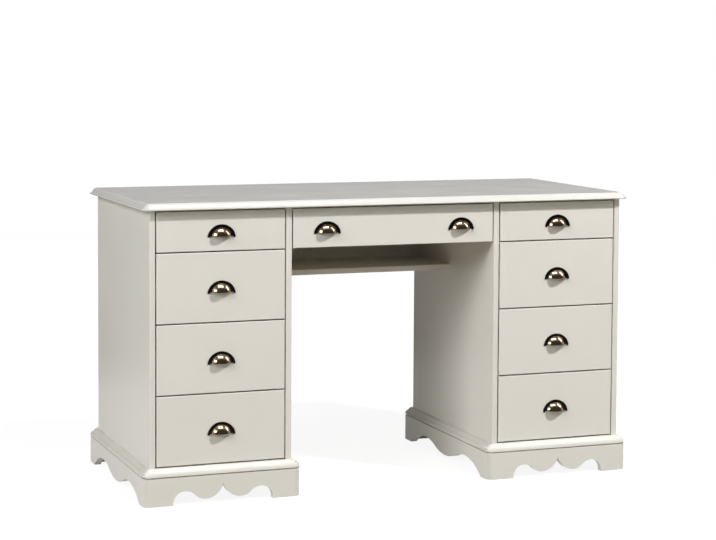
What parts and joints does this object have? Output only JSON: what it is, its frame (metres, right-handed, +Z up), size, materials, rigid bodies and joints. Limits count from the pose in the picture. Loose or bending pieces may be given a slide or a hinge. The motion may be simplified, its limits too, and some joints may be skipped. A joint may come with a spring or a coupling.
{
  "type": "pedestal desk",
  "caption": "White lacquered pedestal desk with drawer pedestals on scalloped plinths, a centre drawer and a shelf in the kneehole, and dark cup pulls.",
  "frame": {"origin": "on the floor, under the middle of the desk's overall length and depth", "axes": "+X to the right of someone facing the drawers, +Y to the back, +Z up"},
  "size_m": [1.4, 0.6, 0.784],
  "materials": {
    "white_lacquer": "satin white lacquer over board",
    "drawer_pine": "plain sanded pine",
    "hardboard": "pale coated hardboard",
    "runner_beech": "waxed beech",
    "antique_brass": "dark antique plating, polished",
    "zinc_screw": "bright zinc plating"
  },
  "bodies": {
    "desk": {"desktop": "white_lacquer", "kneehole_shelf": "white_lacquer", "kneehole_back_rail": "white_lacquer", "drawer_runners": "runner_beech", "assembly_screws": "zinc_screw", "plinth_corner_blocks": "drawer_pine", "left_outer_side": "white_lacquer", "left_inner_side": "white_lacquer", "left_back_panel": "hardboard", "left_bottom_panel": "white_lacquer", "left_top_rails": "drawer_pine", "left_plinth_cap": "white_lacquer", "left_front_apron": "white_lacquer", "left_side_aprons": "white_lacquer", "left_rear_apron": "white_lacquer", "right_outer_side": "white_lacquer", "right_inner_side": "white_lacquer", "right_back_panel": "hardboard", "right_bottom_panel": "white_lacquer", "right_top_rails": "drawer_pine", "right_plinth_cap": "white_lacquer", "right_front_apron": "white_lacquer", "right_side_aprons": "white_lacquer", "right_rear_apron": "white_lacquer"},
    "left_drawer_1": {"left_drawer_1_front": "white_lacquer", "left_drawer_1_box": "drawer_pine", "left_drawer_1_bottom": "hardboard", "left_drawer_1_pull": "antique_brass"},
    "left_drawer_2": {"left_drawer_2_front": "white_lacquer", "left_drawer_2_box": "drawer_pine", "left_drawer_2_bottom": "hardboard", "left_drawer_2_pull": "antique_brass"},
    "left_drawer_3": {"left_drawer_3_front": "white_lacquer", "left_drawer_3_box": "drawer_pine", "left_drawer_3_bottom": "hardboard", "left_drawer_3_pull": "antique_brass"},
    "left_drawer_4": {"left_drawer_4_front": "white_lacquer", "left_drawer_4_box": "drawer_pine", "left_drawer_4_bottom": "hardboard", "left_drawer_4_pull": "antique_brass"},
    "right_drawer_1": {"right_drawer_1_front": "white_lacquer", "right_drawer_1_box": "drawer_pine", "right_drawer_1_bottom": "hardboard", "right_drawer_1_pull": "antique_brass"},
    "right_drawer_2": {"right_drawer_2_front": "white_lacquer", "right_drawer_2_box": "drawer_pine", "right_drawer_2_bottom": "hardboard", "right_drawer_2_pull": "antique_brass"},
    "right_drawer_3": {"right_drawer_3_front": "white_lacquer", "right_drawer_3_box": "drawer_pine", "right_drawer_3_bottom": "hardboard", "right_drawer_3_pull": "antique_brass"},
    "right_drawer_4": {"right_drawer_4_front": "white_lacquer", "right_drawer_4_box": "drawer_pine", "right_drawer_4_bottom": "hardboard", "right_drawer_4_pull": "antique_brass"},
    "centre_drawer": {"centre_drawer_front": "white_lacquer", "centre_drawer_box": "drawer_pine", "centre_drawer_bottom": "hardboard", "centre_drawer_pull": "antique_brass"}
  },
  "joints": [
    {"name": "left_drawer_1_slide", "type": "slide", "parent": "desk", "child": "left_drawer_1", "axis": [0, -1, 0], "range_m": [0, 0.38]},
    {"name": "left_drawer_2_slide", "type": "slide", "parent": "desk", "child": "left_drawer_2", "axis": [0, -1, 0], "range_m": [0, 0.38]},
    {"name": "left_drawer_3_slide", "type": "slide", "parent": "desk", "child": "left_drawer_3", "axis": [0, -1, 0], "range_m": [0, 0.38]},
    {"name": "left_drawer_4_slide", "type": "slide", "parent": "desk", "child": "left_drawer_4", "axis": [0, -1, 0], "range_m": [0, 0.38]},
    {"name": "right_drawer_1_slide", "type": "slide", "parent": "desk", "child": "right_drawer_1", "axis": [0, -1, 0], "range_m": [0, 0.38]},
    {"name": "right_drawer_2_slide", "type": "slide", "parent": "desk", "child": "right_drawer_2", "axis": [0, -1, 0], "range_m": [0, 0.38]},
    {"name": "right_drawer_3_slide", "type": "slide", "parent": "desk", "child": "right_drawer_3", "axis": [0, -1, 0], "range_m": [0, 0.38]},
    {"name": "right_drawer_4_slide", "type": "slide", "parent": "desk", "child": "right_drawer_4", "axis": [0, -1, 0], "range_m": [0, 0.38]},
    {"name": "centre_drawer_slide", "type": "slide", "parent": "desk", "child": "centre_drawer", "axis": [0, -1, 0], "range_m": [0, 0.38]}
  ]
}
